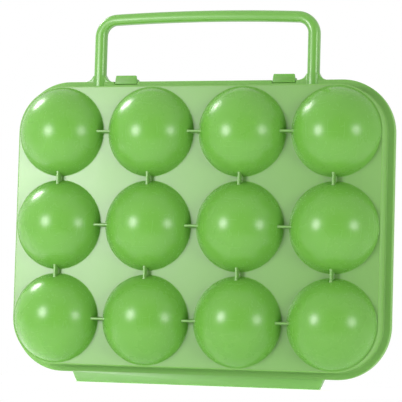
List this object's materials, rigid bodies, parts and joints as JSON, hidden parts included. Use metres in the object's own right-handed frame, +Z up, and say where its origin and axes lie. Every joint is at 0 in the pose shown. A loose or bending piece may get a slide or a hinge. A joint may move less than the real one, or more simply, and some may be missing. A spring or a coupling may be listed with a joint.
{
  "type": "egg carrier",
  "caption": "Rigid plastic clamshell egg carrier with domed cups front and back, a hinged lid, snap hooks and a fold-together carry handle.",
  "frame": {"origin": "middle of the bottom edge of the hinge leaves, on the parting plane between the two shells", "axes": "+X along the width, +Y from the lid to the base shell, +Z up towards the handle"},
  "size_m": [0.223, 0.066, 0.2142],
  "materials": {
    "shell_plastic": "satin green polypropylene, slightly translucent, smooth moulded",
    "thin_web": "the same polypropylene, thin enough to bend and paler where it does"
  },
  "bodies": {
    "base": {"base_panel": "shell_plastic", "base_rim": "shell_plastic", "base_cup_1_1": "shell_plastic", "base_cup_1_2": "shell_plastic", "base_cup_1_3": "shell_plastic", "base_cup_1_4": "shell_plastic", "base_cup_2_1": "shell_plastic", "base_cup_2_2": "shell_plastic", "base_cup_2_3": "shell_plastic", "base_cup_2_4": "shell_plastic", "base_cup_3_1": "shell_plastic", "base_cup_3_2": "shell_plastic", "base_cup_3_3": "shell_plastic", "base_cup_3_4": "shell_plastic", "base_ribs": "shell_plastic", "base_handle": "shell_plastic", "base_hinge_leaf": "shell_plastic", "hinge_web": "thin_web", "latch_flexure_left": "thin_web", "latch_flexure_right": "thin_web"},
    "lid": {"lid_panel": "shell_plastic", "lid_rim": "shell_plastic", "lid_cup_1_1": "shell_plastic", "lid_cup_1_2": "shell_plastic", "lid_cup_1_3": "shell_plastic", "lid_cup_1_4": "shell_plastic", "lid_cup_2_1": "shell_plastic", "lid_cup_2_2": "shell_plastic", "lid_cup_2_3": "shell_plastic", "lid_cup_2_4": "shell_plastic", "lid_cup_3_1": "shell_plastic", "lid_cup_3_2": "shell_plastic", "lid_cup_3_3": "shell_plastic", "lid_cup_3_4": "shell_plastic", "lid_ribs": "shell_plastic", "lid_handle": "shell_plastic", "lid_hinge_leaf": "shell_plastic"},
    "latch_left": {"latch_hook_left": "shell_plastic"},
    "latch_right": {"latch_hook_right": "shell_plastic"}
  },
  "joints": [
    {"name": "lid_hinge", "type": "hinge", "parent": "base", "child": "lid", "pos_m": [0, 0, -0.00015], "axis": [1, 0, 0], "range_deg": [0, 180], "deforming": ["hinge_web"]},
    {"name": "latch_left_flex", "type": "hinge", "parent": "base", "child": "latch_left", "pos_m": [-0.04715, 0.0034, 0.16968], "axis": [-1, 0, 0], "range_deg": [0, 14], "stiffness_Nm_per_rad": 0.25, "deforming": ["latch_flexure_left"]},
    {"name": "latch_right_flex", "type": "hinge", "parent": "base", "child": "latch_right", "pos_m": [0.04715, 0.0034, 0.16968], "axis": [-1, 0, 0], "range_deg": [0, 14], "stiffness_Nm_per_rad": 0.25, "deforming": ["latch_flexure_right"]}
  ]
}
